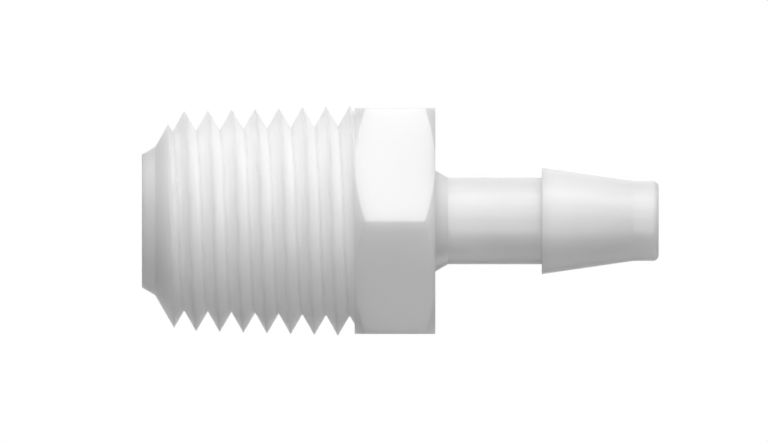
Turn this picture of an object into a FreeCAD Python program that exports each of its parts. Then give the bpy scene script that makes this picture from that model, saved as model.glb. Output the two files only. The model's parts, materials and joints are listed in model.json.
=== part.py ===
import FreeCAD, Part
import math
import os

# A threaded hose nipple, moulded in one piece, in millimetres.
# It lies along X: the pipe thread towards -X, the hexagon in the middle, the hose barb towards +X.
# The origin is on the axis, in the plane where the thread meets the hexagon.
# Two flats of the hexagon face straight up and straight down, +Z and -Z.

# Bore: wide in the thread, narrow in the neck and the barb, with a cone between them
wide_bore_dia = 6.35
wide_bore_past_hexagon = 1.5    # how far the wide bore reaches beyond the hexagon's thread side
narrow_bore_dia = 3.175
bore_cone_angle = 59.0          # to the axis, in degrees

# Tapered pipe thread, right-handed, with its small end towards -X
thread_length = 12.7            # from the end face to the hexagon
thread_pitch = 25.4 / 18        # eighteen turns to the inch
thread_crest_dia = 13.716       # over the crests, where they meet the hexagon
thread_taper = 1 / 16           # growth of the diameter for each millimetre of length
thread_half_angle = 30.0        # from each flank to the plane across the axis, in degrees
thread_flat = 0.054             # width of the crest; the groove's bottom is sharp
top_crest_gap = 0.292           # from the hexagon back to the nearest crest on the upper side

# End of the thread: a narrow face, a steep cone and a wide chamfer that cuts into the first turn
end_face_width = 0.79375        # between the wide bore and the face's outer edge
lead_cone_length = 0.794
lead_cone_angle = 30.0          # to the axis, in degrees
end_chamfer_angle = 60.0        # to the axis, in degrees

# Hexagon for the wrench, its corners cut by a cone at both ends
hex_across_flats = 13.494
hex_length = 4.82
hex_chamfer_inset = 0.022       # from the flats in to the circle that the cone leaves on the end faces
hex_chamfer_angle = 30.0        # to the end face, in degrees

# Neck, with a small cone where it leaves the hexagon
neck_wall = 0.996
neck_cone_height = 0.4365
neck_cone_angle = 30.0          # to the axis, in degrees

# Single barb: a square shoulder, a taper and a short cylindrical nose with a rounded tip
barb_shoulder_distance = 6.35   # from the hexagon to the shoulder
barb_shoulder_height = 0.5915   # above the neck
barb_length = 6.985             # from the shoulder to the tip
nose_wall = 0.79375
nose_length = 1.51
tip_round = 0.35

# Radii and places along the axis that follow from these sizes
wide_bore_radius = wide_bore_dia / 2
narrow_bore_radius = narrow_bore_dia / 2
neck_radius = narrow_bore_radius + neck_wall
barb_radius = neck_radius + barb_shoulder_height
nose_radius = narrow_bore_radius + nose_wall
hex_face_radius = hex_across_flats / 2 - hex_chamfer_inset
thread_end_x = -thread_length
hexagon_x = 0.0
neck_x = hex_length
shoulder_x = neck_x + barb_shoulder_distance
tip_x = shoulder_x + barb_length

overrun = 1.0                   # how far a cut runs past the ends of the part
axis_point = FreeCAD.Vector(0, 0, 0)
axis_x = FreeCAD.Vector(1, 0, 0)
axis_y = FreeCAD.Vector(0, 1, 0)


def slope(angle):
    """Rise for each millimetre of run, at an angle in degrees."""
    return math.tan(math.radians(angle))


def turned(points):
    """Solid turned about the axis from an outline of (x, radius) points that closes on itself."""
    corners = [FreeCAD.Vector(x, 0, radius) for x, radius in points]
    outline = Part.makePolygon(corners + corners[:1])
    return Part.Face(outline).revolve(axis_point, axis_x, 360)


def crest_radius(x):
    """Radius of the tapered crests at a place along the axis."""
    return (thread_crest_dia + x * thread_taper) / 2


def shank_blank():
    """The threaded shank before its groove is cut, with both cones at its end."""
    lead_x = thread_end_x + lead_cone_length
    end_radius = wide_bore_radius + end_face_width
    lead_radius = end_radius + lead_cone_length * slope(lead_cone_angle)
    chamfer_rise = slope(end_chamfer_angle)
    chamfer_run = (crest_radius(lead_x) - lead_radius) / (chamfer_rise - thread_taper / 2)
    return turned([
        (thread_end_x, 0),
        (thread_end_x, end_radius),
        (lead_x, lead_radius),
        (lead_x + chamfer_run, lead_radius + chamfer_run * chamfer_rise),
        (hexagon_x, crest_radius(hexagon_x)),
        (hexagon_x, 0),
    ])


def helix_edges(start_x, depth, turns):
    """A conical helix at this depth below the crests, as one edge for each turn.

    It starts on the lower side of the part and turns to the right as it goes towards +X.
    """
    cone_angle = math.degrees(math.atan(thread_taper / 2))
    start_radius = crest_radius(start_x) - depth
    helix = Part.makeLongHelix(thread_pitch, thread_pitch * turns, start_radius, cone_angle)
    helix.rotate(axis_point, axis_y, 90)
    helix.translate(FreeCAD.Vector(start_x, 0, 0))
    return helix.Edges


def groove_end(corner_edges, vertex):
    """Flat face that closes the groove, across the chosen ends of its corner edges."""
    corners = [edge.Vertexes[vertex].Point for edge in corner_edges]
    return Part.Face(Part.makePolygon(corners + corners[:1]))


def thread_groove():
    """Solid that fills the V groove between the turns, from before the end face to past the hexagon.

    Its three corner lines are conical helices, one at the bottom and two just clear of the crests.
    The strip between two of them is a ruled face for each turn.
    """
    groove_depth = (thread_pitch - thread_flat) / 2 / slope(thread_half_angle)
    clear_width = thread_flat / 4
    clear_height = clear_width / slope(thread_half_angle)
    top_half = (thread_pitch - thread_flat) / 2 + clear_width
    turns = math.ceil(thread_length / thread_pitch) + 3
    # On the lower side a groove lies in line with a crest of the upper side, half a turn away.
    start_x = hexagon_x - top_crest_gap - (turns - 2) * thread_pitch
    corners = [
        (-top_half, -clear_height),
        (0, groove_depth),
        (top_half, -clear_height),
    ]
    lines = [helix_edges(start_x + offset, depth, turns) for offset, depth in corners]
    faces = [groove_end([line[0] for line in lines], 0), groove_end([line[-1] for line in lines], -1)]
    for line, next_line in zip(lines, lines[1:] + lines[:1]):
        faces += [Part.makeRuledSurface(edge, next_edge) for edge, next_edge in zip(line, next_line)]
    shell = Part.makeShell(faces)
    shell.sewShape()
    return Part.makeSolid(shell)


def hexagon():
    """Hexagonal block with two flats up and down, inside a double cone that trims its corners."""
    corner_radius = hex_across_flats / math.sqrt(3)
    corners = []
    for index in range(6):
        angle = math.radians(index * 360 / 6)
        y, z = corner_radius * math.cos(angle), corner_radius * math.sin(angle)
        corners.append(FreeCAD.Vector(hexagon_x, y, z))
    prism = Part.Face(Part.makePolygon(corners + corners[:1])).extrude(axis_x * hex_length)
    middle_x = hexagon_x + hex_length / 2
    cones = turned([
        (hexagon_x, 0),
        (hexagon_x, hex_face_radius),
        (middle_x, hex_face_radius + hex_length / 2 / slope(hex_chamfer_angle)),
        (neck_x, hex_face_radius),
        (neck_x, 0),
    ])
    return prism.common(cones)


def neck_and_barb():
    """Cone at the hexagon, plain neck, and the barb with its rounded tip."""
    cone_radius = neck_radius + neck_cone_height
    cone_end_x = neck_x + neck_cone_height / slope(neck_cone_angle)
    inside_hexagon_x = neck_x - hex_length / 2
    body = turned([
        (inside_hexagon_x, 0),
        (inside_hexagon_x, cone_radius),
        (neck_x, cone_radius),
        (cone_end_x, neck_radius),
        (shoulder_x, neck_radius),
        (shoulder_x, barb_radius),
        (tip_x - nose_length, nose_radius),
        (tip_x, nose_radius),
        (tip_x, 0),
    ])
    return body.makeFillet(tip_round, [tip_edge(body)])


def tip_edge(solid):
    """The round edge at the tip of a turned solid: the one furthest along the axis."""
    return max(solid.Edges, key=lambda edge: edge.BoundBox.XMin)


def bore():
    """Space of the bore from end to end."""
    cone_x = hexagon_x + wide_bore_past_hexagon
    cone_length = (wide_bore_radius - narrow_bore_radius) / slope(bore_cone_angle)
    return turned([
        (thread_end_x - overrun, 0),
        (thread_end_x - overrun, wide_bore_radius),
        (cone_x, wide_bore_radius),
        (cone_x + cone_length, narrow_bore_radius),
        (tip_x + overrun, narrow_bore_radius),
        (tip_x + overrun, 0),
    ])


def nipple():
    """The whole fitting as one solid."""
    shank = shank_blank().cut(thread_groove())
    body = shank.fuse([hexagon(), neck_and_barb()]).removeSplitter()
    return body.cut(bore())


os.makedirs("parts", exist_ok=True)
fitting = nipple()
print("solids", len(fitting.Solids), "valid", fitting.isValid(), "volume", round(fitting.Volume, 2))
fitting.exportStep("parts/hose_nipple.step")
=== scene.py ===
import json
import math

import bmesh
import bpy
import numpy as np
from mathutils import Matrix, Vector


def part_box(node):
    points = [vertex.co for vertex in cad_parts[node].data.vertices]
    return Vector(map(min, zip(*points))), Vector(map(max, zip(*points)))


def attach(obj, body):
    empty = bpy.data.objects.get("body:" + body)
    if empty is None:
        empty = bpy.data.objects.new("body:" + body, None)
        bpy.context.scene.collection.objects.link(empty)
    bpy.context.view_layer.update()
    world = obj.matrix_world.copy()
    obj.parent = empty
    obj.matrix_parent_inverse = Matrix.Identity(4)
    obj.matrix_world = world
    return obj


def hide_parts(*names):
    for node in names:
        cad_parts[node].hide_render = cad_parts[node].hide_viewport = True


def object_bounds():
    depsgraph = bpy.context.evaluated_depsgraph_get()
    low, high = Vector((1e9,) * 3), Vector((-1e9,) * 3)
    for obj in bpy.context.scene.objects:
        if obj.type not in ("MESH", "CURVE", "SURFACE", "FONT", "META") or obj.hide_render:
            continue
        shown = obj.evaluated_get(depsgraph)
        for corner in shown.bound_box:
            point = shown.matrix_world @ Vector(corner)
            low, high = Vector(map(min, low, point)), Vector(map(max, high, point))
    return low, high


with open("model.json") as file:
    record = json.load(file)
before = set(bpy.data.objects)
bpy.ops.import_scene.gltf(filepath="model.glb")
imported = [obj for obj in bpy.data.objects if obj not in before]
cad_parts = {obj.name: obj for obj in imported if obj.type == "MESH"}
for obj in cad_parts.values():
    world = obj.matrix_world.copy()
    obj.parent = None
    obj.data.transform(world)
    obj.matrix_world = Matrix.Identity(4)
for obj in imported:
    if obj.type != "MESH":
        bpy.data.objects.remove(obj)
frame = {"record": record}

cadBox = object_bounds()
print("frame loaded")

mm = 0.001
nodeName = "hose_nipple"
mounts = {mount["name"]: mount for mount in frame["record"]["mounts"]}


def mountRadius(name):
    return mounts[name]["dims"]["r_mm"] * mm


def mountLength(name):
    return mounts[name]["dims"]["length_mm"] * mm


# The fitting's sizes. Those that the record holds are read from its mounts, the others are set here.
endX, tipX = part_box(nodeName)[0][0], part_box(nodeName)[1][0]
wideBoreRadius = mountRadius("thread_bore")
narrowBoreRadius = mountRadius("barb_bore")
noseRadius = mountRadius("hose_nose")
barbRadius = mountRadius("hose_barb")
crestRadius = mountRadius("pipe_thread")           # at the hexagon, where x is 0
apothem = mounts["wrench_flat_top"]["pos_m"][2]    # from the axis to a flat
shoulderX = tipX - mountLength("hose_barb")
wideBoreEndX = endX + mountLength("thread_bore")
narrowBoreStartX = tipX - mountLength("barb_bore")

halfFlat = math.radians(30)         # half the angle that one flat of the hexagon fills

columns = {
    "flatSteps": 48,                # columns across one flat of the hexagon
    "cornerSteps": 4,               # columns round one corner of it
    "cornerRound": 0.16 * mm,       # radius of that corner
}

thread = {
    "pitch": 25.4 * mm / 18,
    "taper": 1 / 16,                # on the diameter
    "halfAngle": 30,                # degrees, flank to the plane across the axis
    "topCrestGap": 0.292 * mm,      # from the hexagon back to the nearest crest on the upper side
    "crestRound": 0.012 * mm,
    "rootRound": 0.02 * mm,
    "roundStep": 20,                # degrees, for both rounds
    "flankSteps": 3,
    "plainDepth": 0.113 * mm,       # depth in the thread whose painted shade the plain surfaces share, so they are painted darker than the flanks
    "chamferShadeGain": 0.9 * mm,        # how much that depth grows over the end chamfer, for its painted shade alone
}

threadEnd = {
    "faceWidth": 0.79375 * mm,      # between the wide bore and the face's outer edge
    "leadLength": 0.794 * mm,
    "leadAngle": 30,                # degrees to the axis
    "chamferAngle": 60,             # degrees to the axis
    "edgeRound": 0.05 * mm,
    "mouthRound": 0.12 * mm,
    "seamDepth": 0.5 * mm,          # how far inside the bore the surface starts and closes
}

hexagon = {
    "length": 4.82 * mm,
    "chamferInset": 0.022 * mm,     # from the flats to the circle that the cone leaves on the ends
    "chamferAngle": 30,             # degrees to the end face
    "edgeRound": 0.07 * mm,
    "edgeShare": 0.45,              # most of the cone's slant that this round may take
    "edgeSteps": 4,
    "flatSteps": 6,
}

barb = {
    "neckRadius": 2.5835 * mm,
    "coneHeight": 0.4365 * mm,      # of the small cone at the hexagon, above the neck
    "coneAngle": 30,                # degrees to the axis
    "noseLength": 1.51 * mm,
    "tipRound": 0.35 * mm,
    "shoulderRound": 0.04 * mm,
    "mouthRound": 0.08 * mm,
    "cornerRound": 0.1 * mm,        # of the hollow corner between cone and neck
    "noseSupport": 0.12 * mm,       # rows this close to the slight bend at the nose keep its shading narrow
}

joining = {
    "weldDistance": 0.0002 * mm,    # points closer than this become one
    "emptyEdge": 0.0001 * mm,       # edges shorter than this are dropped
    "sharpAngle": 25,               # degrees, from which an edge is shaded as a sharp one
}


def slope(degrees):
    return math.tan(math.radians(degrees))


def columnAngles():
    # Angle of each column: even steps over a flat, then a few close ones over the rounded corner,
    # six times round. The first and the last column are the same line, a full turn apart.
    # They start at the near end of the lower flat, so the seam is underneath.
    corner = cornerHalfAngle()
    flat = np.linspace(corner - halfFlat, halfFlat - corner, columns["flatSteps"] + 1)
    edge = halfFlat + np.linspace(-corner, corner, columns["cornerSteps"] + 1)
    sextant = np.concatenate([flat, edge[1:-1]])
    turns = 2 * halfFlat * np.arange(6)
    angles = (sextant[None, :] + turns[:, None]).ravel() - math.radians(90)
    return np.append(angles, angles[0] + 2 * math.pi)


def cornerCentre():
    # Distance from the axis to the centre of a corner's circle: (apothem - round) / cos(half a flat).
    return (apothem - columns["cornerRound"]) / math.cos(halfFlat)


def cornerHalfAngle():
    # Half the angle that a rounded corner fills, seen from the axis.
    reach = columns["cornerRound"]
    return math.atan2(reach * math.sin(halfFlat), cornerCentre() + reach * math.cos(halfFlat))


def hexRadius(angles):
    # Distance from the axis to the hexagon: apothem / cos(angle from the flat's middle),
    # and near a corner the far side of the corner's circle.
    fromFlat = np.mod(angles, 2 * halfFlat) - halfFlat
    onFlat = apothem / np.cos(fromFlat)
    fromCorner = halfFlat - np.abs(fromFlat)
    centre = cornerCentre()
    inside = np.maximum(columns["cornerRound"] ** 2 - (centre * np.sin(fromCorner)) ** 2, 0)
    onCorner = centre * np.cos(fromCorner) + np.sqrt(inside)
    return np.where(fromCorner < cornerHalfAngle(), onCorner, onFlat)


def roundedOutline(corners, step=15):
    # Outline (x, radius) through the corners (x, radius, round): each round one becomes an arc
    # that touches both sides, with a point for about each step of degrees. Seen from the arc's middle,
    # a point is (sin((1 - share) * turn) * start + sin(share * turn) * end) / sin(turn).
    points = [np.array([corners[0][:2]])]
    for before, here, after in zip(corners, corners[1:], corners[2:]):
        corner = np.array(here[:2])
        if here[2] == 0:
            points.append(corner[None, :])
            continue
        back = np.array(before[:2]) - corner
        ahead = np.array(after[:2]) - corner
        back, ahead = back / np.linalg.norm(back), ahead / np.linalg.norm(ahead)
        opening = math.acos(float(np.clip(back @ ahead, -1, 1)))
        turn = math.pi - opening
        tangent = here[2] * math.tan(turn / 2)
        middle = corner + (back + ahead) / np.linalg.norm(back + ahead) * here[2] / math.sin(opening / 2)
        start, end = corner + back * tangent - middle, corner + ahead * tangent - middle
        count = max(2, round(math.degrees(turn) / step))
        share = np.linspace(0, 1, count + 1)[:, None]
        mixed = np.sin((1 - share) * turn) * start + np.sin(share * turn) * end
        points.append(middle + mixed / math.sin(turn))
    points.append(np.array([corners[-1][:2]]))
    return np.concatenate(points)


def rings(outline, angles):
    # The same outline in every column: x and radius don't change with the angle.
    ones = np.ones(len(angles))
    return outline[:, :1] * ones, outline[:, 1:] * ones


def threadTurn():
    # One turn of the thread's section as (distance along the axis, height above the crests), from
    # the middle of a crest to just before the next: arc, flank, arc, flank, arc.
    half = math.radians(thread["halfAngle"])
    sweep = math.pi / 2 - half
    count = round(math.degrees(sweep) / thread["roundStep"])
    lean = np.linspace(-sweep, sweep, 2 * count + 1)
    crest, root = thread["crestRound"], thread["rootRound"]
    crestSharp = crest / math.sin(half) - crest      # height of the sharp crest that the arc cuts off
    rootSharp = crestSharp - thread["pitch"] / 2 / math.tan(half)
    crestArc = np.column_stack([crest * np.sin(lean), crest * np.cos(lean) - crest])
    rootMiddle = rootSharp + root / math.sin(half)
    rootArc = np.column_stack([thread["pitch"] / 2 + root * np.sin(lean), rootMiddle - root * np.cos(lean)])
    shares = (np.arange(1, thread["flankSteps"]) / thread["flankSteps"])[:, None]
    falling = crestArc[-1] + shares * (rootArc[0] - crestArc[-1])
    nextCrest = crestArc + np.array([thread["pitch"], 0])
    rising = rootArc[-1] + shares * (nextCrest[0] - rootArc[-1])
    return np.concatenate([crestArc[count:], falling, rootArc, rising, nextCrest[:count]])


def threadHeight():
    # From the bottoms of the groove up to the crests.
    return -threadTurn()[:, 1].min()


def threadRows(angles, leadX, leadRadius):
    # Rows that follow the helix: x = crest place + pitch * (turn + angle / full turn) + section's x,
    # radius = tapered crest radius + section's height, kept inside the end chamfer and before the hexagon.
    # The third result is each point's depth below the crests, which sets the plastic's painted shade. On
    # the chamfer it is plain depth + gain * (share of the way out to the crests)^2, so that its painted
    # shade runs into the flanks'.
    section = threadTurn()
    pitch = thread["pitch"]
    firstTurn = math.floor(endX / pitch) - 1
    starts = np.arange(firstTurn, 2) * pitch - thread["topCrestGap"]
    along = (starts[:, None] + section[:, 0]).ravel()
    height = np.tile(section[:, 1], len(starts))
    advance = pitch * (angles - math.radians(90)) / (2 * math.pi)
    x = along[:, None] + advance
    radius = crestRadius + x * thread["taper"] / 2 + height[:, None]
    x, radius, onChamfer = cutByChamfer(x, radius, leadX, leadRadius)
    x, radius = stopAtHexagon(x, radius)
    crests = crestRadius + x * thread["taper"] / 2
    outward = (radius - leadRadius) / (crests - leadRadius)
    chamferShadeDepth = thread["plainDepth"] + thread["chamferShadeGain"] * outward ** 2
    return x, radius, np.where(onChamfer, chamferShadeDepth, crests - radius)


def cutByChamfer(x, radius, leadX, leadRadius):
    # Points outside the cone radius = leadRadius + (x - leadX) * slope drop onto it, and the last of
    # them in each column moves to where the section leaves the cone. The third result says which points
    # lie on the cone.
    rise = slope(threadEnd["chamferAngle"])
    cone = leadRadius + (x - leadX) * rise
    outside = radius - cone
    last = outside.shape[0] - 1 - np.argmax(outside[::-1] > 0, axis=0)
    column = np.arange(x.shape[1])
    share = outside[last, column] / (outside[last, column] - outside[last + 1, column])
    crossing = x[last, column] + share * (x[last + 1, column] - x[last, column])
    row = np.arange(x.shape[0])[:, None]
    newX = np.where(row < last, np.clip(x, leadX, crossing), x)
    newX = np.where(row == last, crossing, newX)
    newRadius = np.where(row <= last, leadRadius + (newX - leadX) * rise, radius)
    return newX, newRadius, row < last


def stopAtHexagon(x, radius):
    # The first point past x = 0 in each column moves back to it along the section, and all later
    # points join it there.
    first = np.argmax(x > 0, axis=0)
    column = np.arange(x.shape[1])
    share = x[first, column] / (x[first, column] - x[first - 1, column])
    edge = radius[first, column] + share * (radius[first - 1, column] - radius[first, column])
    past = np.arange(x.shape[0])[:, None] >= first
    return np.where(past, 0, x), np.where(past, edge, radius)


def hexRows(angles):
    # From the circle on one end face, over the cone, the flat and the other cone, to the circle on
    # the other face. The edge between cone and flat is a quadratic curve through
    # (1-t)^2 start + 2t(1-t) corner + t^2 end.
    outer = hexRadius(angles)
    circle = apothem - hexagon["chamferInset"]
    coneLength = (outer - circle) * slope(hexagon["chamferAngle"])
    slant = (outer - circle) / math.cos(math.radians(hexagon["chamferAngle"]))
    reach = np.minimum(hexagon["edgeRound"], hexagon["edgeShare"] * slant)
    share = np.linspace(0, 1, hexagon["edgeSteps"] + 1)[:, None]
    startX = coneLength - reach * math.sin(math.radians(hexagon["chamferAngle"]))
    startRadius = outer - reach * math.cos(math.radians(hexagon["chamferAngle"]))
    endOfEdge = coneLength + reach
    edgeX = (1 - share) ** 2 * startX + 2 * share * (1 - share) * coneLength + share ** 2 * endOfEdge
    edgeRadius = (1 - share) ** 2 * startRadius + (1 - (1 - share) ** 2) * outer
    circleX, circleRadius = np.zeros((1, len(angles))), np.full((1, len(angles)), circle)
    nearX = np.concatenate([circleX, edgeX])
    nearRadius = np.concatenate([circleRadius, edgeRadius])
    farX = hexagon["length"] - nearX[::-1]
    across = np.linspace(0, 1, hexagon["flatSteps"] + 1)[1:-1, None]
    flatX = nearX[-1] + across * (farX[0] - nearX[-1])
    flatRadius = np.tile(outer, (len(across), 1))
    return np.concatenate([nearX, flatX, farX]), np.concatenate([nearRadius, flatRadius, nearRadius[::-1]])


def buildNipple():
    # One closed surface: from inside the wide bore round the end face, along the thread, the hexagon
    # and the barb, and back through the bore to where it started.
    # A point is (x, radius * cos(angle), radius * sin(angle)).
    angles = columnAngles()
    faceRadius = wideBoreRadius + threadEnd["faceWidth"]
    leadX = endX + threadEnd["leadLength"]
    leadRadius = faceRadius + threadEnd["leadLength"] * slope(threadEnd["leadAngle"])
    neck = barb["neckRadius"]
    coneRadius = neck + barb["coneHeight"]
    coneEndX = hexagon["length"] + barb["coneHeight"] / slope(barb["coneAngle"])
    noseX = tipX - barb["noseLength"]
    support = barb["noseSupport"]
    seamX = endX + threadEnd["seamDepth"]
    taperRise = (barbRadius - noseRadius) / (noseX - shoulderX)

    endOutline = roundedOutline([
        (seamX, wideBoreRadius, 0),
        (endX, wideBoreRadius, threadEnd["mouthRound"]),
        (endX, faceRadius, threadEnd["edgeRound"]),
        (leadX, leadRadius, 0),
    ])
    barbOutline = roundedOutline([
        (hexagon["length"], apothem - hexagon["chamferInset"], 0),
        (hexagon["length"], coneRadius, 0),
        (coneEndX, neck, barb["cornerRound"]),
        (shoulderX, neck, 0),
        (shoulderX, barbRadius, barb["shoulderRound"]),
        (noseX - support, noseRadius + support * taperRise, 0),
        (noseX, noseRadius, 0),
        (noseX + support, noseRadius, 0),
        (tipX, noseRadius, barb["tipRound"]),
        (tipX, narrowBoreRadius, barb["mouthRound"]),
        (narrowBoreStartX, narrowBoreRadius, 0),
        (wideBoreEndX, wideBoreRadius, 0),
        (seamX, wideBoreRadius, 0),
    ])
    threadX, threadRadius, threadDepth = threadRows(angles, leadX, leadRadius)
    parts = [
        rings(endOutline, angles),
        (threadX, threadRadius),
        hexRows(angles),
        rings(barbOutline[1:], angles),
    ]
    x = np.concatenate([part[0] for part in parts])
    radius = np.concatenate([part[1] for part in parts])
    places = np.stack([x, radius * np.cos(angles), radius * np.sin(angles)], axis=-1)
    # The plain surfaces take the painted shade of the plain depth, darker than the flanks.
    depth = np.full(x.shape, thread["plainDepth"])
    depth[len(endOutline):len(endOutline) + len(threadDepth)] = threadDepth
    return gridMesh("moulded_nipple", places, depth)


def gridMesh(name, places, depth):
    # Mesh of quads over a grid of places (row, column, 3), rows along the part and columns round it.
    # The depth in the thread goes with each point, for the plastic's painted shade.
    rowCount, columnCount = places.shape[:2]
    index = np.arange(rowCount * columnCount).reshape(rowCount, columnCount)
    quads = np.stack([index[:-1, :-1], index[:-1, 1:], index[1:, 1:], index[1:, :-1]], axis=-1)
    mesh = bpy.data.meshes.new(name)
    mesh.from_pydata(places.reshape(-1, 3).tolist(), [], quads.reshape(-1, 4).tolist())
    mesh.attributes.new("threadDepth", "FLOAT", "POINT").data.foreach_set("value", depth.ravel())
    weld(mesh)
    piece = bpy.data.objects.new(name, mesh)
    bpy.context.scene.collection.objects.link(piece)
    return piece


def weld(mesh):
    # Points that lie on each other become one, which closes the seam and drops the empty faces.
    work = bmesh.new()
    work.from_mesh(mesh)
    bmesh.ops.remove_doubles(work, verts=work.verts, dist=joining["weldDistance"])
    bmesh.ops.dissolve_degenerate(work, edges=work.edges, dist=joining["emptyEdge"])
    openEdges = [edge for edge in work.edges if len(edge.link_faces) != 2]
    volume = work.calc_volume(signed=True) / mm ** 3
    print("open edges", len(openEdges), "faces", len(work.faces), "volume in mm3", round(volume, 1))
    work.to_mesh(mesh)
    work.free()
    mesh.shade_smooth()
    mesh.set_sharp_from_angle(angle=math.radians(joining["sharpAngle"]))


nipple = buildNipple()
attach(nipple, "root")
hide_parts(nodeName)
print("nipple modelled")


class Wire:
    # One shader socket. Plain arithmetic on it adds Math nodes, and node() adds any other node.
    def __init__(self, tree, socket=None):
        self.tree = tree
        self.socket = socket

    def node(self, kind, settings, inputs, output=0):
        new = self.tree.nodes.new(kind)
        for name, value in settings.items():
            setattr(new, name, value)
        for name, value in inputs.items():
            if isinstance(value, Wire):
                self.tree.links.new(value.socket, new.inputs[name])
            else:
                new.inputs[name].default_value = value
        return Wire(self.tree, new.outputs[output]) if new.outputs else None

    def math(self, operation, first, second=0.0):
        return self.node("ShaderNodeMath", {"operation": operation}, {0: first, 1: second})

    def exp(self):
        return self.math("EXPONENT", self)

    def __add__(self, other):
        return self.math("ADD", self, other)

    def __sub__(self, other):
        return self.math("SUBTRACT", self, other)

    def __rsub__(self, other):
        return self.math("SUBTRACT", other, self)

    def __mul__(self, other):
        return self.math("MULTIPLY", self, other)

    __radd__ = __add__
    __rmul__ = __mul__


plastic = {
    "grey": 0.985,                 # of the white resin on the thread's flanks; the plain surfaces are painted darker, so the flanks carry painted bounced light
    "clouding": 0.006,             # how far its grey drifts
    "cloudSize": 3.0 * mm,
    "cloudDetail": 3.0,
    "roughness": 0.31,
    "roughnessDrift": 0.04,
    "grainSize": 0.12 * mm,        # of the mould's fine finish
    "grainDetail": 2.0,
    "grainHeight": 0.0004 * mm,
    "subsurface": 1.0,
    "subsurfaceRadius": 2.6 * mm,
    "ior": 1.5,
    "crestPaintedShade": 0.13,             # painted shade: how much darker the thread's crests and bottoms are painted
    "rootPaintedShade": 0.11,
    "paintedShadeWidth": 0.22 * mm,        # in depth, of the painted shade along the crests and bottoms
}


def newTree(owner):
    owner.use_nodes = True
    owner.node_tree.nodes.clear()
    return Wire(owner.node_tree)


def whitePlastic():
    material = bpy.data.materials.new("satinWhitePlastic")
    tree = newTree(material)
    place = tree.node("ShaderNodeTexCoord", {}, {}, "Object")

    def noise(size, detail):
        inputs = {"Vector": place, "Scale": 1 / size, "Detail": detail}
        return tree.node("ShaderNodeTexNoise", {}, inputs, "Fac")

    cloud = noise(plastic["cloudSize"], plastic["cloudDetail"])
    grain = noise(plastic["grainSize"], plastic["grainDetail"])
    depth = tree.node("ShaderNodeAttribute", {"attribute_name": "threadDepth"}, {}, "Fac")

    def paintedShadeLine(distance, strength):
        # painted shade along the crests or the bottoms: strength * e^-(distance / width)^2
        share = distance * (1 / plastic["paintedShadeWidth"])
        return (0.0 - share * share).exp() * strength

    # Painted shade: darker bands along the thread's crests and bottoms, where the grooves fall into shade.
    paintedShadeLines = paintedShadeLine(depth, plastic["crestPaintedShade"]) + paintedShadeLine(depth - threadHeight(), plastic["rootPaintedShade"])
    grey = plastic["grey"] + (cloud - 0.5) * (2 * plastic["clouding"]) - paintedShadeLines
    colour = tree.node("ShaderNodeCombineColor", {}, {"Red": grey, "Green": grey, "Blue": grey})
    rough = plastic["roughness"] + (cloud + grain - 1.0) * plastic["roughnessDrift"]
    bump = tree.node("ShaderNodeBump", {}, {
        "Height": grain,
        "Distance": plastic["grainHeight"],
        "Strength": 1.0,
    })
    shader = tree.node("ShaderNodeBsdfPrincipled", {"subsurface_method": "RANDOM_WALK"}, {
        "Base Color": colour,
        "Roughness": rough,
        "Normal": bump,
        "IOR": plastic["ior"],
        "Subsurface Weight": plastic["subsurface"],
        "Subsurface Radius": (1.0, 1.0, 1.0),
        "Subsurface Scale": plastic["subsurfaceRadius"],
    })
    tree.node("ShaderNodeOutputMaterial", {}, {"Surface": shader})
    return material


nipple.data.materials.append(whitePlastic())
print("plastic made")

studio = {
    "pixelSize": 0.0597 * mm,
    "pictureWidth": 768,
    "hexagonPixel": 354.6,         # column of the picture where x is 0
    "cameraDistance": 300 * mm,
    "backdropGrey": 1.0,
    "groundGrey": 0.812,           # of the room below the horizon, as bright as the floor in this light
    "groundFrom": -0.03,           # rise of the view from which on down there is ground alone
    "wallFrom": -0.01,             # and from which on up there is wall alone
    "floorSize": 1000 * mm,
    "floorGap": 10 * mm,           # between its two sheets
    "floorGrey": 0.85,
    # Soft lights of the room, mixed against the photo: degrees above the camera's line (over 90
    # is behind the object), degrees towards the barb, tightness and strength.
    "lights": [
        (340, 0, 40, 5.0),         # low in front
        (20, 0, 40, 5.0),          # in front
        (48, 0, 120, 9.0),         # two narrow ones, high in front
        (72, 0, 120, 9.0),
        (60, 24, 30, 5.0),         # high on the barb's side
        (100, 0, 40, 1.5),         # overhead
        (120, -52, 14, 2.0),       # high behind, on both sides
        (120, 52, 14, 1.0),
        (140, 0, 40, 1.0),
        (180, 0, 6, 1.0),          # the wide wall behind
        (240, -24, 30, 1.0),       # from behind and below
        (240, 24, 30, 2.5),
        (260, 0, 40, 1.0),         # from below
    ],
}


def addCamera():
    data = bpy.data.cameras.new("camera")
    data.type = "ORTHO"
    data.ortho_scale = studio["pictureWidth"] * studio["pixelSize"]
    data.clip_start = 1 * mm
    camera = bpy.data.objects.new("camera", data)
    middleX = (studio["pictureWidth"] / 2 - studio["hexagonPixel"]) * studio["pixelSize"]
    camera.location = (middleX, -studio["cameraDistance"], 0)
    camera.rotation_euler = (math.radians(90), 0, 0)
    bpy.context.scene.collection.objects.link(camera)
    bpy.context.scene.camera = camera


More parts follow.
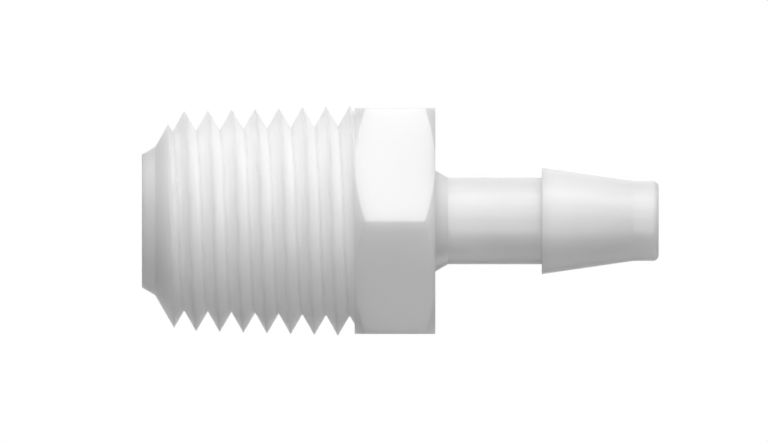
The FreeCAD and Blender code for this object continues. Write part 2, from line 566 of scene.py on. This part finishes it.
def addWorld():
    # For the camera, a white wall, and below the horizon a ground that goes on from the floor. For the
    # object, each light fills part of the room around its direction with
    # strength * e^(tightness * (cosine of the angle to that direction - 1)).
    world = bpy.data.worlds.new("studioRoom")
    bpy.context.scene.world = world
    tree = newTree(world)
    direction = tree.node("ShaderNodeTexCoord", {}, {}, "Generated")
    level = 0.0
    for elevation, side, tightness, strength in studio["lights"]:
        up, turn = math.radians(elevation), math.radians(side)
        towards = (math.sin(turn), -math.cos(turn) * math.cos(up), math.cos(turn) * math.sin(up))
        both = {0: direction, 1: towards}
        cosine = tree.node("ShaderNodeVectorMath", {"operation": "DOT_PRODUCT"}, both, "Value")
        level = level + ((cosine - 1.0) * tightness).exp() * strength
    rise = tree.node("ShaderNodeSeparateXYZ", {}, {"Vector": direction}, "Z")
    wall = tree.node("ShaderNodeMapRange", {"clamp": True}, {
        "Value": rise,
        "From Min": studio["groundFrom"],
        "From Max": studio["wallFrom"],
        "To Min": studio["groundGrey"],
        "To Max": studio["backdropGrey"],
    }, "Result")
    seen = tree.node("ShaderNodeLightPath", {}, {}, "Is Camera Ray")
    level = level + seen * (wall - level)
    background = tree.node("ShaderNodeBackground", {}, {"Color": (1, 1, 1, 1), "Strength": level})
    tree.node("ShaderNodeOutputWorld", {}, {"Surface": background})


def addFloor():
    # Pale floor that only the camera sees, so that the light from below still reaches the object. It is
    # two sheets, since the lowest rays of a low camera start under the upper one.
    half = studio["floorSize"] / 2
    top = cadBox[0][2]
    corners = []
    for level in (top, top - studio["floorGap"]):
        corners += [(-half, -half, level), (half, -half, level), (half, half, level), (-half, half, level)]
    mesh = bpy.data.meshes.new("floor")
    mesh.from_pydata(corners, [], [(0, 1, 2, 3), (4, 5, 6, 7)])
    floor = bpy.data.objects.new("floor", mesh)
    floor.visible_diffuse = False
    floor.visible_glossy = False
    floor.visible_transmission = False
    floor.visible_shadow = False
    bpy.context.scene.collection.objects.link(floor)
    material = bpy.data.materials.new("paleFloor")
    tree = newTree(material)
    grey = studio["floorGrey"]
    shader = tree.node("ShaderNodeBsdfDiffuse", {}, {"Color": (grey, grey, grey, 1)})
    tree.node("ShaderNodeOutputMaterial", {}, {"Surface": shader})
    mesh.materials.append(material)


addCamera()
addWorld()
addFloor()
bpy.context.scene.view_settings.view_transform = "Standard"
print("studio set")
